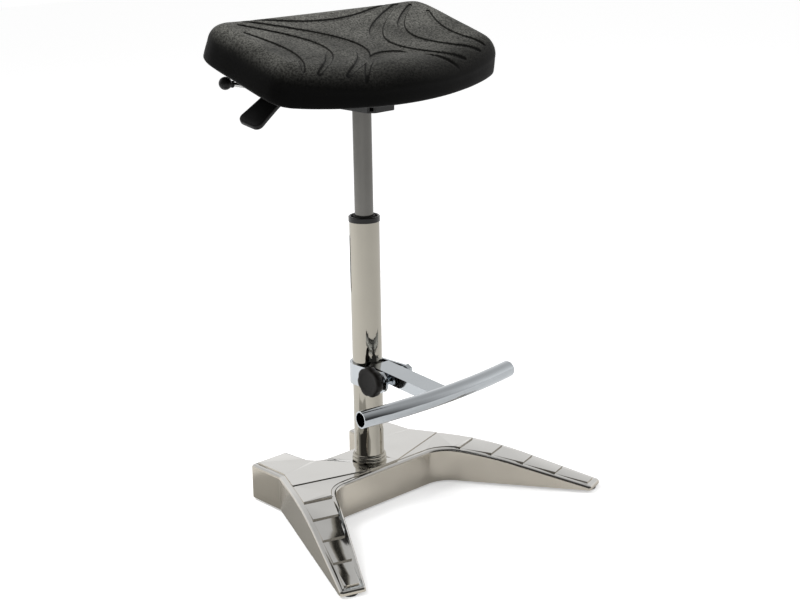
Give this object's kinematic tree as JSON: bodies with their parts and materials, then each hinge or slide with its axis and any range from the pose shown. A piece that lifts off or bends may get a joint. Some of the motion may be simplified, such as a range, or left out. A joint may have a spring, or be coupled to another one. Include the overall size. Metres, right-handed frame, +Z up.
{
  "type": "perch stool",
  "caption": "Perch stool: tilting black foam seat on a gas-lift chrome column, with a clamped footrest bar and a polished cast base.",
  "frame": {"origin": "floor level, under the middle of the stool's length and width", "axes": "+Z up; -Y is the front, where the footrest and the two long legs are; -X is the side of the levers and the footrest knob"},
  "size_m": [0.546, 0.3646, 0.7377],
  "materials": {
    "polished_casting": "mirror polished",
    "pad_rubber": "matt",
    "column_chrome": "bright",
    "collar_black": "gloss",
    "bushing_plastic": "satin",
    "inner_steel": "plain",
    "spring_cylinder_grey": "satin",
    "mechanism_black": "satin",
    "lever_black": "satin",
    "lever_steel": "bright zinc",
    "brake_lining": "matt",
    "board_black": "matt",
    "cushion_black": "soft, fine pebble grain",
    "footrest_chrome": "bright",
    "knob_black": "satin"
  },
  "bodies": {
    "base": {"base_casting": "polished_casting", "floor_pads": "pad_rubber", "column_tube": "column_chrome", "column_foot_ring": "column_chrome", "column_collar": "collar_black", "guide_bushing": "bushing_plastic", "rod_wiper": "pad_rubber", "column_end_plate": "inner_steel", "column_bolts": "inner_steel", "bearing_lower_race": "inner_steel", "bearing_balls": "inner_steel"},
    "swivel": {"bearing_upper_race": "inner_steel", "rubber_buffer": "pad_rubber", "rod_clip": "inner_steel", "piston_rod": "inner_steel", "piston": "bushing_plastic"},
    "lift": {"gas_spring_cylinder": "spring_cylinder_grey", "cylinder_end_guide": "bushing_plastic", "mechanism_housing": "mechanism_black", "cone_socket": "mechanism_black", "lever_ears": "mechanism_black", "lever_pins": "inner_steel", "pivot_bolts": "inner_steel", "pivot_nuts": "inner_steel", "brake_pad": "brake_lining"},
    "release_pin": {"release_pin": "inner_steel"},
    "height_lever": {"height_lever_rod": "mechanism_black", "height_lever_paddle": "lever_black"},
    "tilt_lever": {"tilt_lever_rod": "lever_steel", "tilt_lever_knob": "lever_black"},
    "seat": {"seat_bracket": "mechanism_black", "tilt_sector": "inner_steel", "seat_plate": "mechanism_black", "seat_screws": "inner_steel", "seat_board": "board_black", "seat_cushion": "cushion_black"},
    "footrest": {"clamp_strap": "footrest_chrome", "clamp_saddle": "bushing_plastic", "clamp_spacers": "footrest_chrome", "clamp_nut": "footrest_chrome", "footrest_arm": "footrest_chrome", "footrest_bar": "footrest_chrome"},
    "footrest_knob": {"clamp_stud": "inner_steel", "clamp_washer": "footrest_chrome", "clamp_knob": "knob_black"}
  },
  "joints": [
    {"name": "seat_swivel", "type": "hinge", "parent": "base", "child": "swivel", "pos_m": [0, 0.06077, 0.4], "axis": [0, 0, 1], "continuous": true},
    {"name": "seat_height", "type": "slide", "parent": "swivel", "child": "lift", "axis": [0, 0, 1], "range_m": [-0.15, 0.045]},
    {"name": "release_pin", "type": "slide", "parent": "lift", "child": "release_pin", "axis": [0, 0, 1], "range_m": [-0.0022, 0]},
    {"name": "height_lever", "type": "hinge", "parent": "lift", "child": "height_lever", "pos_m": [-0.0205, 0.06077, 0.6423], "axis": [0, 1, 0], "range_deg": [0, 5], "stiffness_Nm_per_rad": 4, "springref_deg": -5.73},
    {"name": "tilt_lever", "type": "hinge", "parent": "lift", "child": "tilt_lever", "pos_m": [-0.0205, 0.09877, 0.617], "axis": [0, 1, 0], "range_deg": [-12, 0]},
    {"name": "seat_tilt", "type": "hinge", "parent": "lift", "child": "seat", "pos_m": [0, 0.06077, 0.622], "axis": [1, 0, 0], "range_deg": [-10, 3]},
    {"name": "footrest_height", "type": "slide", "parent": "base", "child": "footrest", "axis": [0, 0, 1], "range_m": [-0.1, 0.205]},
    {"name": "footrest_knob", "type": "hinge", "parent": "footrest", "child": "footrest_knob", "pos_m": [-0.045, 0.00777, 0.208], "axis": [-1, 0, 0], "range_deg": [0, 540]}
  ],
  "couplings": [
    {"joint": "release_pin", "follows": "height_lever", "m_per_rad": -0.0235}
  ]
}
